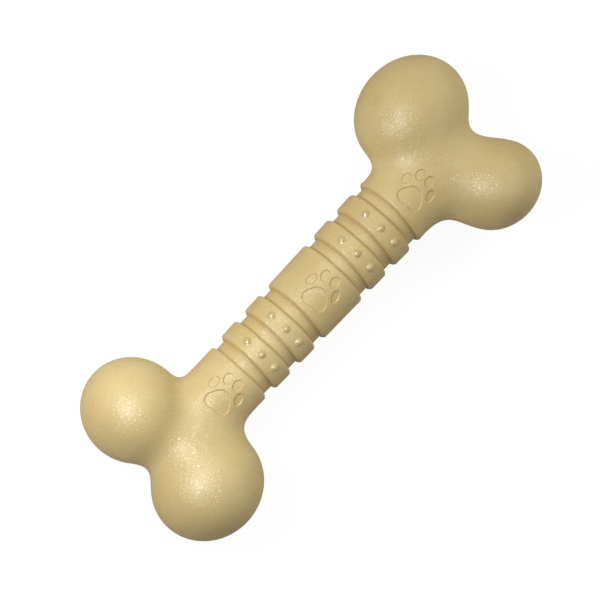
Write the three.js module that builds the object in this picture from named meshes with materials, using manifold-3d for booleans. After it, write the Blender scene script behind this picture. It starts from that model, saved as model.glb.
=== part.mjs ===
// Moulded nylon chew bone, in millimetres, +Z up.
// It lies flat with its length along X, and the origin is under its middle on the surface it lies on.
// A tapered spine carries four studded rings and a centre band, and its two spigots seat in the knuckles.
import * as THREE from "three";
import { mergeVertices } from "three/addons/utils/BufferGeometryUtils.js";
import Module from "manifold-3d";

const wasm = await Module();
wasm.setup();

// Overall size: the two large lobes, at opposite corners, reach the full length and width.
const OVERALL_LENGTH = 200;
const OVERALL_WIDTH = 80.8;
const LOBE_HEIGHT = 40.4;
const REST_FLAT = 0.5; // depth of the small flat under each lobe

// Left knuckle: lengths run along X, widths along Y.
const LEFT_LARGE_LOBE_LENGTH = 43.6;
const LEFT_LARGE_LOBE_WIDTH = 40.8;
const LEFT_SMALL_LOBE_LENGTH = 38.6;
const LEFT_SMALL_LOBE_WIDTH = 40.6;
const LEFT_SMALL_LOBE_SETBACK = 3.4; // from the large lobe's tip back to the small one's
const LEFT_SMALL_LOBE_INSET = 1.1; // from the large lobe's side in to the small one's
const LEFT_LARGE_BLEND = 10; // reach of the soft joint between the large lobe and the collar
const LEFT_SMALL_BLEND = 6.3; // reach of the soft joint between the small lobe and the rest
const LEFT_COLLAR_D = 27.3;
const LEFT_COLLAR_SETBACK = 6.2; // from the large lobe's centre back to the end of the collar

// Right knuckle
const RIGHT_LARGE_LOBE_LENGTH = 46.6;
const RIGHT_LARGE_LOBE_WIDTH = 40.8;
const RIGHT_SMALL_LOBE_LENGTH = 36.4;
const RIGHT_SMALL_LOBE_WIDTH = 32.5;
const RIGHT_SMALL_LOBE_SETBACK = 1.9;
const RIGHT_SMALL_LOBE_INSET = 1.7;
const RIGHT_LARGE_BLEND = 7.7;
const RIGHT_SMALL_BLEND = 16;
const RIGHT_COLLAR_D = 30.2;
const RIGHT_COLLAR_SETBACK = 9;

// Barrel between the two collars: six grooves part four rings and the centre band.
const BARREL_OFFSET = 1.65; // from the middle of the bone to the middle of the barrel
const BARREL_D_LEFT = 27.9;
const BARREL_D_RIGHT = 30.6;
const GROOVE_WIDTH = 4.4;
const GROOVE_DEPTH = 1.85;
const RING_WIDTH = 8.75;
const CENTRE_BAND_WIDTH = 21.1;
const WALL_DRAFT = 14; // degrees that a groove's walls lean outwards
const RIM_ROUND = 1.1;
const MOST_ROUND = 0.8; // the rim's round takes at most this share of its wall

// Nubs: rows of small domes round each ring, on the upper and the lower side.
const NUB_D = 3.2;
const NUB_HEIGHT = 1;
const NUB_PITCH = 30; // degrees round the ring
const NUBS_PER_SIDE = 3;

// Paw prints, recessed in the collars and the centre band on both sides.
const PAW_DEPTH = 0.5;
const PAW_TURN = 7; // degrees
const PAW_ASIDE = 0.45; // from the bone's axis to the pads' centres
const PAD_LENGTH = 8.6;
const PAD_WIDTH = 10;
const PAD_LOBING = 0.09; // swell of the pad's front and its two heels
const HEEL_NOTCH = 0.14; // hollow between the two heels, as a share of the pad's half length
const HEEL_NOTCH_POWER = 8; // the higher, the narrower the hollow
const OUTER_TOE_LENGTH = 4.8;
const OUTER_TOE_WIDTH = 3;
const OUTER_TOE_LEAN = 10; // degrees inwards
const OUTER_TOE_REACH = 5.2; // from the pad's centre
const OUTER_TOE_SPREAD = 11.2; // between the two outer toes
const INNER_TOE_LENGTH = 4.6;
const INNER_TOE_WIDTH = 3.4;
const INNER_TOE_REACH = 9.15;
const INNER_TOE_SPREAD = 4.3;
const LEFT_PAW_X = -54.5; // pad centres
const CENTRE_PAW_X = -2.05;
const RIGHT_PAW_X = 50.1;

// Joints between the pieces
const SPIGOT_D = 16;
const SPIGOT_LENGTH = 22;
const SPIGOT_CHAMFER = 1;
const FIT_GAP = 0.2;

// Facets
const ROUND_STEPS = 40; // round the barrel
const KNUCKLE_STEPS = 48; // round a knuckle
const FAN_STEPS = 22;
const COLLAR_STEPS = 3;
const RIM_STEPS = 2;
const NUB_ROUND_STEPS = 8;
const NUB_RISE_STEPS = 2;
const PAD_STEPS = 20;
const TOE_STEPS = 8;
const CROWDING = 0.05; // how far the steps round a knuckle close up over its lobes' crowns
const FAN_START = 0.25; // share of the way from rim to heart where the fan of rays takes over
const SEARCH_STEP = 0.5;
const SEARCH_HALVINGS = 20;

// Values that follow from the sizes
const AXIS_Z = LOBE_HEIGHT / 2 - REST_FLAT;
const RING_COUNT = 4;
const GROOVE_COUNT = RING_COUNT + 2;
const BARREL_LENGTH = GROOVE_COUNT * GROOVE_WIDTH + RING_COUNT * RING_WIDTH + CENTRE_BAND_WIDTH;
const BARREL_START = BARREL_OFFSET - BARREL_LENGTH / 2;
const BARREL_END = BARREL_OFFSET + BARREL_LENGTH / 2;
const DRAFT_RUN = Math.tan(THREE.MathUtils.degToRad(WALL_DRAFT));
const SPIGOT_R = SPIGOT_D / 2;

const nylon = new THREE.MeshStandardMaterial({ color: "#e0c891", roughness: 0.42, metalness: 0 });

// Outer radius of the rings and the band at a place along the barrel.
function barrelRadius(x) {
  const share = (x - BARREL_START) / BARREL_LENGTH;
  return THREE.MathUtils.lerp(BARREL_D_LEFT, BARREL_D_RIGHT, share) / 2;
}

function floorRadius(x) {
  return barrelRadius(x) - GROOVE_DEPTH;
}

// Closed geometry to solid, and back.
function solidOf(geometry) {
  const bare = geometry.clone();
  bare.deleteAttribute("normal");
  bare.deleteAttribute("uv");
  const merged = mergeVertices(bare);
  return new wasm.Manifold(
    new wasm.Mesh({
      numProp: 3,
      vertProperties: merged.attributes.position.array,
      triVerts: new Uint32Array(merged.index.array),
    }),
  );
}

function geometryOf(solid) {
  const { vertProperties, triVerts } = solid.getMesh();
  const geometry = new THREE.BufferGeometry();
  geometry.setAttribute("position", new THREE.BufferAttribute(vertProperties, 3));
  geometry.setIndex(new THREE.BufferAttribute(triVerts, 1));
  geometry.computeVertexNormals();
  return geometry;
}

// Revolve a profile of [x, radius] corners round the bone's axis.
function revolve(profile) {
  const points = profile.map(([x, radius]) => new THREE.Vector2(radius, x));
  return new THREE.LatheGeometry(points, ROUND_STEPS).rotateZ(-Math.PI / 2);
}

// Corners of a groove wall from its foot to the end of its rounded rim, as [distance from foot, height].
function wallProfile(height) {
  const draft = THREE.MathUtils.degToRad(WALL_DRAFT);
  const round = Math.min(RIM_ROUND, MOST_ROUND * height);
  const tangent = round * Math.tan((Math.PI / 2 - draft) / 2);
  const centre = { along: height * DRAFT_RUN + tangent, up: height - round };
  const corners = [[0, 0]];
  for (let i = 0; i <= RIM_STEPS; i++) {
    const angle = THREE.MathUtils.lerp(draft, Math.PI / 2, i / RIM_STEPS);
    corners.push([centre.along - round * Math.cos(angle), centre.up + round * Math.sin(angle)]);
  }
  return corners;
}

// Raised sleeve on the spine between two grooves.
function sleeve(start, width) {
  const end = start + width;
  const rim = wallProfile(GROOVE_DEPTH).slice(1);
  const seat = (x) => [x, floorRadius(x) + FIT_GAP];
  const left = rim.map(([along, up]) => [start + along, floorRadius(start + along) + up]);
  const right = rim.map(([along, up]) => [end - along, floorRadius(end - along) + up]);
  const lean = FIT_GAP * DRAFT_RUN;
  const first = seat(start + lean);
  const last = seat(end - lean);
  return solidOf(revolve([first, ...left, ...right.reverse(), last, first]));
}

// Dome along +Z whose foot is sunk below z = 0.
function nubGeometry(sink) {
  const radius = NUB_D / 2;
  const points = [new THREE.Vector2(0, -sink), new THREE.Vector2(radius, -sink)];
  for (let i = 0; i <= NUB_RISE_STEPS; i++) {
    const angle = ((Math.PI / 2) * i) / NUB_RISE_STEPS;
    const out = i === NUB_RISE_STEPS ? 0 : radius * Math.cos(angle);
    points.push(new THREE.Vector2(out, NUB_HEIGHT * Math.sin(angle)));
  }
  return new THREE.LatheGeometry(points, NUB_ROUND_STEPS).rotateX(Math.PI / 2);
}

function nubRing(start) {
  const middle = start + RING_WIDTH / 2;
  const radius = barrelRadius(middle);
  const sink = (GROOVE_DEPTH - FIT_GAP) / 2;
  let ring = sleeve(start, RING_WIDTH);
  for (const side of [0, Math.PI]) {
    for (let i = 0; i < NUBS_PER_SIDE; i++) {
      const turn = THREE.MathUtils.degToRad(NUB_PITCH * (i - (NUBS_PER_SIDE - 1) / 2));
      const nub = nubGeometry(sink).translate(0, 0, radius).rotateX(side + turn).translate(middle, 0, 0);
      ring = ring.add(solidOf(nub));
    }
  }
  return ring;
}

// Outline of the paw's pad, rounded at the front and at two heels with a hollow between them.
function padShape() {
  const points = [];
  for (let i = 0; i < PAD_STEPS; i++) {
    const angle = (2 * Math.PI * i) / PAD_STEPS;
    const hollow = HEEL_NOTCH * Math.max(-Math.cos(angle), 0) ** HEEL_NOTCH_POWER;
    const swell = 1 + PAD_LOBING * Math.cos(3 * angle) - hollow;
    const x = (PAD_LENGTH / 2) * swell * Math.cos(angle);
    const y = (PAD_WIDTH / 2) * swell * Math.sin(angle);
    points.push(new THREE.Vector2(x, y));
  }
  return new THREE.Shape(points);
}

function toeShape(x, y, length, width, lean) {
  return new THREE.Shape().absellipse(x, y, length / 2, width / 2, 0, 2 * Math.PI, false, lean);
}

// Upright prisms of a paw on both sides of the bone; a heading of 0 points the toes to +X.
function pawPrisms(x, heading, reach) {
  const shapes = [padShape()];
  for (const side of [-1, 1]) {
    const outerY = (side * OUTER_TOE_SPREAD) / 2;
    const innerY = (side * INNER_TOE_SPREAD) / 2;
    const lean = -side * THREE.MathUtils.degToRad(OUTER_TOE_LEAN);
    shapes.push(toeShape(OUTER_TOE_REACH, outerY, OUTER_TOE_LENGTH, OUTER_TOE_WIDTH, lean));
    shapes.push(toeShape(INNER_TOE_REACH, innerY, INNER_TOE_LENGTH, INNER_TOE_WIDTH, 0));
  }
  const options = { depth: reach, bevelEnabled: false, curveSegments: TOE_STEPS };
  const upper = new THREE.ExtrudeGeometry(shapes, options)
    .rotateZ(THREE.MathUtils.degToRad(PAW_TURN))
    .translate(0, -PAW_ASIDE, 0)
    .rotateZ(heading)
    .translate(x, 0, 0);
  const lower = upper.clone().rotateX(Math.PI);
  return solidOf(upper).add(solidOf(lower));
}

function centreBand(start) {
  const end = start + CENTRE_BAND_WIDTH;
  const pawFloor = (x) => [x, barrelRadius(x) - PAW_DEPTH];
  const core = solidOf(revolve([[start, 0], pawFloor(start), pawFloor(end), [end, 0]]));
  const recess = pawPrisms(CENTRE_PAW_X, 0, barrelRadius(end) + PAW_DEPTH).subtract(core);
  return sleeve(start, CENTRE_BAND_WIDTH).subtract(recess);
}

function spine() {
  const profile = [
    [BARREL_START - SPIGOT_LENGTH, 0],
    [BARREL_START - SPIGOT_LENGTH, SPIGOT_R - SPIGOT_CHAMFER],
    [BARREL_START - SPIGOT_LENGTH + SPIGOT_CHAMFER, SPIGOT_R],
    [BARREL_START, SPIGOT_R],
    [BARREL_START, floorRadius(BARREL_START)],
    [BARREL_END, floorRadius(BARREL_END)],
    [BARREL_END, SPIGOT_R],
    [BARREL_END + SPIGOT_LENGTH - SPIGOT_CHAMFER, SPIGOT_R],
    [BARREL_END + SPIGOT_LENGTH, SPIGOT_R - SPIGOT_CHAMFER],
    [BARREL_END + SPIGOT_LENGTH, 0],
  ];
  return solidOf(revolve(profile));
}

// Distance from a point to an egg-shaped lobe, negative inside.
function lobeDistance(point, lobe) {
  const scaled = point.clone().sub(lobe.centre).divide(lobe.reach);
  const slope = scaled.clone().divide(lobe.reach).length();
  const far = scaled.length();
  return slope === 0 ? -lobe.reach.z : (far * (far - 1)) / slope;
}

// Distance to a round-ended rod along the axis.
function rodDistance(point, end, radius) {
  const past = Math.max(point.x - end, 0);
  return Math.hypot(past, point.y, point.z) - radius;
}

// The lower of two distances, rounded over where they come within a reach of each other.
function softUnion(a, b, reach) {
  const overlap = Math.max(reach - Math.abs(a - b), 0) / reach;
  return Math.min(a, b) - (overlap * overlap * reach) / 4;
}

// A lobe whose outermost points are a tip along X and a side along Y.
function lobeAt(tip, side, length, width) {
  const towards = Math.sign(side);
  return {
    centre: new THREE.Vector3(tip - length / 2, side - (towards * width) / 2, 0),
    reach: new THREE.Vector3(length / 2, width / 2, LOBE_HEIGHT / 2),
  };
}

// A knuckle points to +X here: the large lobe lies to +Y and the small one to -Y.
function knuckleShape(spec) {
  const tip = OVERALL_LENGTH / 2;
  const side = OVERALL_WIDTH / 2;
  const large = lobeAt(tip, side, spec.largeLength, spec.largeWidth);
  const small = lobeAt(tip - spec.setback, spec.inset - side, spec.smallLength, spec.smallWidth);
  const heart = large.centre.x - spec.collarSetback;
  const distance = (point) => {
    const collar = rodDistance(point, heart, spec.collarD / 2);
    const most = softUnion(collar, lobeDistance(point, large), spec.largeBlend);
    return softUnion(most, lobeDistance(point, small), spec.smallBlend);
  };
  return { ...spec, heart, distance };
}

// First point on the ray where the shape, shrunk by an inset, ends.
function skinPoint(shape, origin, direction, inset) {
  const at = (reach) => origin.clone().addScaledVector(direction, reach);
  let outside = SEARCH_STEP;
  while (shape.distance(at(outside)) + inset < 0) outside += SEARCH_STEP;
  let inside = outside - SEARCH_STEP;
  for (let i = 0; i < SEARCH_HALVINGS; i++) {
    const middle = (inside + outside) / 2;
    if (shape.distance(at(middle)) + inset < 0) inside = middle;
    else outside = middle;
  }
  return at(outside);
}

// Direction across the bone's axis; the steps are closer together on the diagonals, where the crowns lie.
function across(step) {
  const even = (2 * Math.PI * step) / KNUCKLE_STEPS;
  const angle = even + CROWDING * Math.sin(4 * even);
  return new THREE.Vector3(0, Math.cos(angle), Math.sin(angle));
}

function circleRow(x, radius) {
  const row = [];
  for (let j = 0; j < KNUCKLE_STEPS; j++) {
    row.push(across(j).multiplyScalar(radius).setX(x));
  }
  return row;
}

// Rows of the rounded outside, from the collar's rim out to the notch between the lobes.
function outsideRows(shape, from, inset) {
  const rows = [];
  const fanStart = THREE.MathUtils.lerp(from, shape.heart, FAN_START);
  for (let i = 1; i <= COLLAR_STEPS; i++) {
    const origin = new THREE.Vector3(THREE.MathUtils.lerp(from, fanStart, i / COLLAR_STEPS), 0, 0);
    const row = [];
    for (let j = 0; j < KNUCKLE_STEPS; j++) row.push(skinPoint(shape, origin, across(j), inset));
    rows.push(row);
  }
  const heart = new THREE.Vector3(shape.heart, 0, 0);
  const first = Math.atan2(shape.collarD / 2, shape.heart - fanStart);
  for (let i = 1; i < FAN_STEPS; i++) {
    const angle = THREE.MathUtils.lerp(first, Math.PI, i / FAN_STEPS);
    const row = [];
    for (let j = 0; j < KNUCKLE_STEPS; j++) {
      const direction = across(j).multiplyScalar(Math.sin(angle)).setX(-Math.cos(angle));
      row.push(skinPoint(shape, heart, direction, inset));
    }
    rows.push(row);
  }
  const pole = skinPoint(shape, heart, new THREE.Vector3(1, 0, 0), inset);
  return { rows, pole };
}

// Closed skin through rows of points round the axis, from a first pole to a last one.
function loft(first, rows, last) {
  const points = [first, ...rows.flat(), last];
  const index = [];
  const at = (i, j) => 1 + i * KNUCKLE_STEPS + (j % KNUCKLE_STEPS);
  for (let j = 0; j < KNUCKLE_STEPS; j++) {
    index.push(0, at(0, j + 1), at(0, j));
    for (let i = 0; i + 1 < rows.length; i++) {
      index.push(at(i, j), at(i, j + 1), at(i + 1, j));
      index.push(at(i, j + 1), at(i + 1, j + 1), at(i + 1, j));
    }
    index.push(at(rows.length - 1, j), at(rows.length - 1, j + 1), points.length - 1);
  }
  return new THREE.BufferGeometry().setFromPoints(points).setIndex(index);
}

// Knuckle with its socket, groove wall, rest flats and paw prints, pointing to +X.
function knuckle(spec) {
  const shape = knuckleShape(spec);
  const face = shape.rim + FIT_GAP;
  const socketR = SPIGOT_R + FIT_GAP;
  const socketEnd = shape.rim + SPIGOT_LENGTH + FIT_GAP;
  const wall = wallProfile(shape.collarD / 2 - shape.floorR);
  const wallRows = wall.map(([along, up]) => circleRow(face + along, shape.floorR + up));
  const rimEnd = face + wall[wall.length - 1][0];
  const outside = outsideRows(shape, rimEnd, 0);
  const rows = [circleRow(socketEnd, socketR), circleRow(face, socketR), ...wallRows, ...outside.rows];
  const body = solidOf(loft(new THREE.Vector3(socketEnd, 0, 0), rows, outside.pole));

  const inner = outsideRows(shape, rimEnd, PAW_DEPTH);
  const innerRows = [circleRow(shape.rim, shape.collarD / 2 - PAW_DEPTH), ...inner.rows];
  const pawFloor = solidOf(loft(new THREE.Vector3(shape.rim, 0, 0), innerRows, inner.pole));
  const recess = pawPrisms(shape.pawX, shape.pawHeading, LOBE_HEIGHT / 2).subtract(pawFloor);

  const ground = new THREE.BoxGeometry(OVERALL_LENGTH, 2 * OVERALL_WIDTH, LOBE_HEIGHT);
  ground.translate(OVERALL_LENGTH / 2, 0, -AXIS_Z - LOBE_HEIGHT / 2);
  return body.subtract(recess).subtract(solidOf(ground));
}

const bone = new THREE.Group();

function place(name, solid) {
  const mesh = new THREE.Mesh(geometryOf(solid), nylon);
  mesh.name = name;
  mesh.position.z = AXIS_Z;
  bone.add(mesh);
  return mesh;
}

place("spine", spine());

let cursor = BARREL_START + GROOVE_WIDTH;
for (let i = 1; i <= RING_COUNT; i++) {
  place(`nub_ring_${i}`, nubRing(cursor));
  cursor += RING_WIDTH + GROOVE_WIDTH;
  if (i === RING_COUNT / 2) {
    place("centre_band", centreBand(cursor));
    cursor += CENTRE_BAND_WIDTH + GROOVE_WIDTH;
  }
}

const left = place(
  "left_knuckle",
  knuckle({
    largeLength: LEFT_LARGE_LOBE_LENGTH,
    largeWidth: LEFT_LARGE_LOBE_WIDTH,
    smallLength: LEFT_SMALL_LOBE_LENGTH,
    smallWidth: LEFT_SMALL_LOBE_WIDTH,
    setback: LEFT_SMALL_LOBE_SETBACK,
    inset: LEFT_SMALL_LOBE_INSET,
    largeBlend: LEFT_LARGE_BLEND,
    smallBlend: LEFT_SMALL_BLEND,
    collarD: LEFT_COLLAR_D,
    collarSetback: LEFT_COLLAR_SETBACK,
    rim: -BARREL_START,
    floorR: floorRadius(BARREL_START),
    pawX: -LEFT_PAW_X,
    pawHeading: Math.PI,
  }),
);
left.rotation.z = Math.PI;

place(
  "right_knuckle",
  knuckle({
    largeLength: RIGHT_LARGE_LOBE_LENGTH,
    largeWidth: RIGHT_LARGE_LOBE_WIDTH,
    smallLength: RIGHT_SMALL_LOBE_LENGTH,
    smallWidth: RIGHT_SMALL_LOBE_WIDTH,
    setback: RIGHT_SMALL_LOBE_SETBACK,
    inset: RIGHT_SMALL_LOBE_INSET,
    largeBlend: RIGHT_LARGE_BLEND,
    smallBlend: RIGHT_SMALL_BLEND,
    collarD: RIGHT_COLLAR_D,
    collarSetback: RIGHT_COLLAR_SETBACK,
    rim: BARREL_END,
    floorR: floorRadius(BARREL_END),
    pawX: RIGHT_PAW_X,
    pawHeading: 0,
  }),
);

export default bone;
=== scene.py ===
"""Moulded nylon chew bone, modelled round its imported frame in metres."""

import math

import bpy
import numpy as np
from bpy.props import FloatProperty, FloatVectorProperty, IntProperty, PointerProperty
from mathutils import Matrix, Vector


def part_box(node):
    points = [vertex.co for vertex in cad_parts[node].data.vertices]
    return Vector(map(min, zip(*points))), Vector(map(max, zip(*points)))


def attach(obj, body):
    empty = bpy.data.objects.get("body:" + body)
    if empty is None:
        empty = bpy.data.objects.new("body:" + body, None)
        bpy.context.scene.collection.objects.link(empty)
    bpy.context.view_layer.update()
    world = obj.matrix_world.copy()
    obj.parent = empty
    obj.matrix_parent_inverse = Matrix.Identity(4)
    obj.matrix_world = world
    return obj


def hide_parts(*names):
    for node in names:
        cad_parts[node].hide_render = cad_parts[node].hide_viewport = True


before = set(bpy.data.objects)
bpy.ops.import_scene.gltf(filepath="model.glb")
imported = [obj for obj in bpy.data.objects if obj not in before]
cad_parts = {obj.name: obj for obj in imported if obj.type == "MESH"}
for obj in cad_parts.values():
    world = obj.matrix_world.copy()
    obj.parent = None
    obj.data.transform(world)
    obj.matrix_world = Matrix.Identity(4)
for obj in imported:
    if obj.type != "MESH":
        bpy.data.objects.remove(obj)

bl_info = {
    "name": "Nylon chew bone",
    "version": (1, 0, 0),
    "blender": (4, 5, 0),
    "location": "3D View > Sidebar > Chew bone",
    "description": "Models a moulded nylon chew bone round its packed frame",
    "category": "Add Mesh",
}

MM = 0.001
BODY = "root"
RING_NAMES = ("nub_ring_1", "nub_ring_2", "nub_ring_3", "nub_ring_4")
GROOVES = 6

# Fit between the pieces
SEAT_SINK = 0.05 * MM  # how far a ring's bore sits in the spine
SPIGOT_RADIUS = 8 * MM
SPIGOT_LENGTH = 22 * MM
SPIGOT_CHAMFER = 1 * MM
MOST_ROUND = 0.8  # a rim's round takes at most this share of its wall

# Forms of the prints and the nubs
PAD_SWELLS = 3  # a pad's front and its two heels
HEEL_NARROWNESS = 8  # the higher, the narrower the notch between the heels
PAW_RISE = 4 * MM  # a print lies at least this far over or under the axis
NUB_SOFTNESS = 1.2  # above 1, a nub's foot runs out softly into its ring

# Mesh fineness
SEGMENTS = 240  # steps round the barrel and the knuckles
KNUCKLE_RINGS = 180  # rings of the sphere that a knuckle starts from
SPHERE_OPENING = 0.25  # where it is open, as a share of the way from the collar's rim to its centre
RIM_STEPS = 6  # steps round a rim
ROW_WIDTH = 0.3 * MM  # rows along the rings, the band and the collars
FLOOR_ROW = 0.22 * MM  # rows along a groove's floor
NUB_CUTS = 2  # cuts in the faces at a nub
NUB_NEAR = 0.55  # how far from its axis they go, as a share of its diameter
PAW_CUTS = 3  # cuts in the faces along a print's outline
PAW_NEAR = 1.5  # how far from it they go, as a share of the print's wall
SMOOTH_ANGLE = math.radians(60)

# Searches and tolerances
SEARCH_STEP = 0.5 * MM  # steps of a ray on its way out to a knuckle's skin
SEARCH_HALVINGS = 24  # of its last step
FAR_AWAY = 1.0  # further than anything on the bone
LEAST_SLOPE = 1e-6  # keeps the centre of an oval from dividing by nothing
SAME_ANGLE = 1e-4
SAME_PLACE = 0.01 * MM
MERGE = 0.001 * MM

# Marks on the vertices, for the finish: painted shade in the corners, and polished nub tops
PAINTED_SHADE_MARK = "recess"  # painted shade: corners and recesses tinted towards ochre, where shade falls
POLISH = "polish"  # smooth tops of the nubs
FOOT_SHADE_REACH = 0.6 * MM  # of the painted shade at the foot of a groove's wall
PAW_SHADE_STRENGTH = 0.3  # strength of the painted shade along a print's wall
PAW_SHADE_INSET = 0.25  # how far inside the outline it lies, as a share of the wall
NUB_SHADE_STRENGTH = 0.2  # strength of the painted shade round a nub's foot
NUB_SHADE_PLACE = 0.45  # how far from the nub's axis it lies, as a share of the diameter
NUB_SHADE_REACH = 0.5 * MM
POLISH_GAIN = 2  # a nub is polished in full from half its height up

# Patterns in the nylon
CLOUD_SIZE = 24 * MM  # large pale clouds
BLOTCH_SIZE = 5 * MM  # ochre blotches
SPECKLE_SIZE = 1.1 * MM  # fine ochre speckle
WAVE_SIZE = 3.5 * MM  # shallow waves of the moulded skin
CLOUD_TINT = 0.6  # share of the pale colour in a cloud
SPECK_TINT = 0.25  # and in a speck that glints
BLOTCH_TINT = 0.16  # share of ochre in a blotch
SPECKLE_TINT = 0.08  # in the speckle
SHADE_TINT = 0.4  # and in a recess, as painted shade
BLOTCH_SWAY = 0.12  # how far the roughness sways with the blotches
POLISH_EASE = 0.25  # how much smoother the nylon is on a polished nub
GLINT_EASE = 0.15  # and how much smoother its glint
POLISH_GLINT = 1.2  # glint of a polished nub against that of a speck
WAVE_HEIGHT = 0.05 * MM
SEAM_HEIGHT = 0.05 * MM  # of the parting line round the bone
SEAM_CREST = 0.05 * MM  # half its width at the top
SEAM_FOOT = 0.22 * MM  # half its width at the foot
GRAIN_UNDER = 0.12  # share of the grain's depth under the glints
NYLON_IOR = 1.53

# Stage, with the lamps placed from the middle of the bone
VIEW_FROM = Vector((-0.139, 0.105, 0.985)).normalized()  # from the bone to the camera
VIEW_DISTANCE = 1.0
VIEW_ROLL = math.radians(46.76)  # the bone's length against the picture's lower edge
VIEW_WIDTH = 225.17 * MM  # what the picture spans at the bone's axis
AIM_RIGHT = 4.39 * MM  # from the picture's middle to the middle of the bone
AIM_UP = 1.73 * MM
SENSOR = 36  # width of the camera's sensor in millimetres
MAIN_PLACE = Vector((-0.150, 0.186, 0.239))
MAIN_SIZE = 0.18
FILL_PLACE = Vector((2.22, 0.09, 2.01))
FILL_SIZE = 2
GLINT_PLACE = Vector((-0.150, 0.080, 0.290))
BARREL_LAMP_PLACE = Vector((-0.030, 0.150, 0.290))
GLINT_SIZE = 0.1  # of the two lamps that show only in the gloss
FLOOR_SIZE = 6
FLOOR_GLOW = 0.93  # brightness of the floor to the camera, before the lamps add to it
SHADOW_GREY = 0.12  # how much the lamps add, and so how deep the bone's shadow is
FLOOR_IN_GLOSS = 0.2  # share of that white floor in the bone's gloss


def length(name, description, millimetres):
    """A length that is written in millimetres."""
    return FloatProperty(
        name=name, description=description, default=millimetres * MM,
        subtype="DISTANCE", unit="LENGTH", precision=5,
    )


def angle(name, description, degrees):
    """An angle that is written in degrees."""
    return FloatProperty(
        name=name, description=description, default=math.radians(degrees),
        subtype="ANGLE", unit="ROTATION",
    )


def share(name, description, value):
    """A number from 0 to 1."""
    return FloatProperty(
        name=name, description=description, default=value, min=0, max=1, subtype="FACTOR",
    )


def power(name, description, watts):
    """A lamp's power."""
    return FloatProperty(name=name, description=description, default=watts, min=0, unit="POWER")


def colour(name, description, rgb):
    """A scene-linear colour."""
    return FloatVectorProperty(
        name=name, description=description, default=rgb, min=0, max=1, size=3, subtype="COLOR",
    )


def spine_axis():
    """Height of the bone's axis over the floor, in millimetres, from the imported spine."""
    low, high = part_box("spine")
    return (low.z + high.z) / 2 / MM


class BarrelSizes(bpy.types.PropertyGroup):
    """Sizes of the grooved barrel between the two knuckles."""

    axis_height: length("Axis height", "From the floor to the bone's axis", spine_axis())
    offset: length("Offset", "From the middle of the bone to the middle of the barrel", 1.65)
    left_diameter: length("Left diameter", "Over the rings at the left end", 27.9)
    right_diameter: length("Right diameter", "Over the rings at the right end", 30.6)
    groove_width: length("Groove width", "Between the feet of a groove's walls", 4.4)
    groove_depth: length("Groove depth", "From a ring's top to the groove's floor", 1.85)
    ring_width: length("Ring width", "At the foot of a studded ring", 8.75)
    band_width: length("Band width", "At the foot of the centre band", 21.1)
    draft: angle("Draft", "How far a groove's walls lean outwards", 14)
    rim_round: length("Rim round", "Radius of the rounded rims", 1.1)


class NubSizes(bpy.types.PropertyGroup):
    """Sizes of the round nubs on the rings."""

    diameter: length("Diameter", "Across a nub's soft foot", 3.4)
    height: length("Height", "Of a nub over its ring", 0.95)
    pitch: angle("Pitch", "Between two nubs, round the ring", 30)
    per_side: IntProperty(name="Per side", description="Nubs on each side of a ring", default=3, min=1)


class PawSizes(bpy.types.PropertyGroup):
    """Sizes and places of the recessed paw prints."""

    depth: length("Depth", "Of the recess", 0.5)
    wall: length("Wall", "Width of the recess's sloping side", 0.35)
    turn: angle("Turn", "Of the print on the bone", 7)
    pad_length: length("Pad length", "Along the bone", 8.6)
    pad_width: length("Pad width", "Across the bone", 10)
    pad_lobing: share("Pad lobing", "Swell of the pad's front and its two heels", 0.09)
    heel_notch: share("Heel notch", "Hollow between the pad's two heels", 0.14)
    outer_length: length("Outer toe length", "Of an outer toe", 4.8)
    outer_width: length("Outer toe width", "Of an outer toe", 3.0)
    outer_lean: angle("Outer toe lean", "How far an outer toe leans inwards", 10)
    outer_reach: length("Outer toe reach", "From the pad's centre", 5.2)
    outer_spread: length("Outer toe spread", "Between the two outer toes", 11.2)
    inner_length: length("Inner toe length", "Of an inner toe", 4.6)
    inner_width: length("Inner toe width", "Of an inner toe", 3.4)
    inner_lean: angle("Inner toe lean", "How far an inner toe leans inwards", 0)
    inner_reach: length("Inner toe reach", "From the pad's centre", 9.15)
    inner_spread: length("Inner toe spread", "Between the two inner toes", 4.3)
    aside: length("Aside", "From the bone's middle line to the prints", -0.45)
    left_place: length("Left place", "Pad centre of the left print along the bone", -54.5)
    centre_place: length("Centre place", "Pad centre of the middle print along the bone", -2.05)
    right_place: length("Right place", "Pad centre of the right print along the bone", 50.1)


class LeftKnuckleSizes(bpy.types.PropertyGroup):
    """Sizes of the knuckle at the left end."""

    large_length: length("Large lobe length", "Along the bone", 43.6)
    large_width: length("Large lobe width", "Across the bone", 40.8)
    small_length: length("Small lobe length", "Along the bone", 38.6)
    small_width: length("Small lobe width", "Across the bone", 40.6)
    setback: length("Setback", "From the large lobe's tip back to the small one's", 3.4)
    inset: length("Inset", "From the large lobe's side in to the small one's", 1.1)
    large_blend: length("Large blend", "Reach of the soft joint at the large lobe", 10)
    small_blend: length("Small blend", "Reach of the soft joint at the small lobe", 6.3)
    collar: length("Collar", "Diameter of the collar", 27.3)
    collar_setback: length("Collar setback", "From the large lobe's centre to the collar's end", 6.2)


class RightKnuckleSizes(bpy.types.PropertyGroup):
    """Sizes of the knuckle at the right end."""

    large_length: length("Large lobe length", "Along the bone", 46.6)
    large_width: length("Large lobe width", "Across the bone", 40.8)
    small_length: length("Small lobe length", "Along the bone", 36.4)
    small_width: length("Small lobe width", "Across the bone", 32.5)
    setback: length("Setback", "From the large lobe's tip back to the small one's", 1.9)
    inset: length("Inset", "From the large lobe's side in to the small one's", 1.7)
    large_blend: length("Large blend", "Reach of the soft joint at the large lobe", 7.7)
    small_blend: length("Small blend", "Reach of the soft joint at the small lobe", 16)
    collar: length("Collar", "Diameter of the collar", 30.2)
    collar_setback: length("Collar setback", "From the large lobe's centre to the collar's end", 9)


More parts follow.
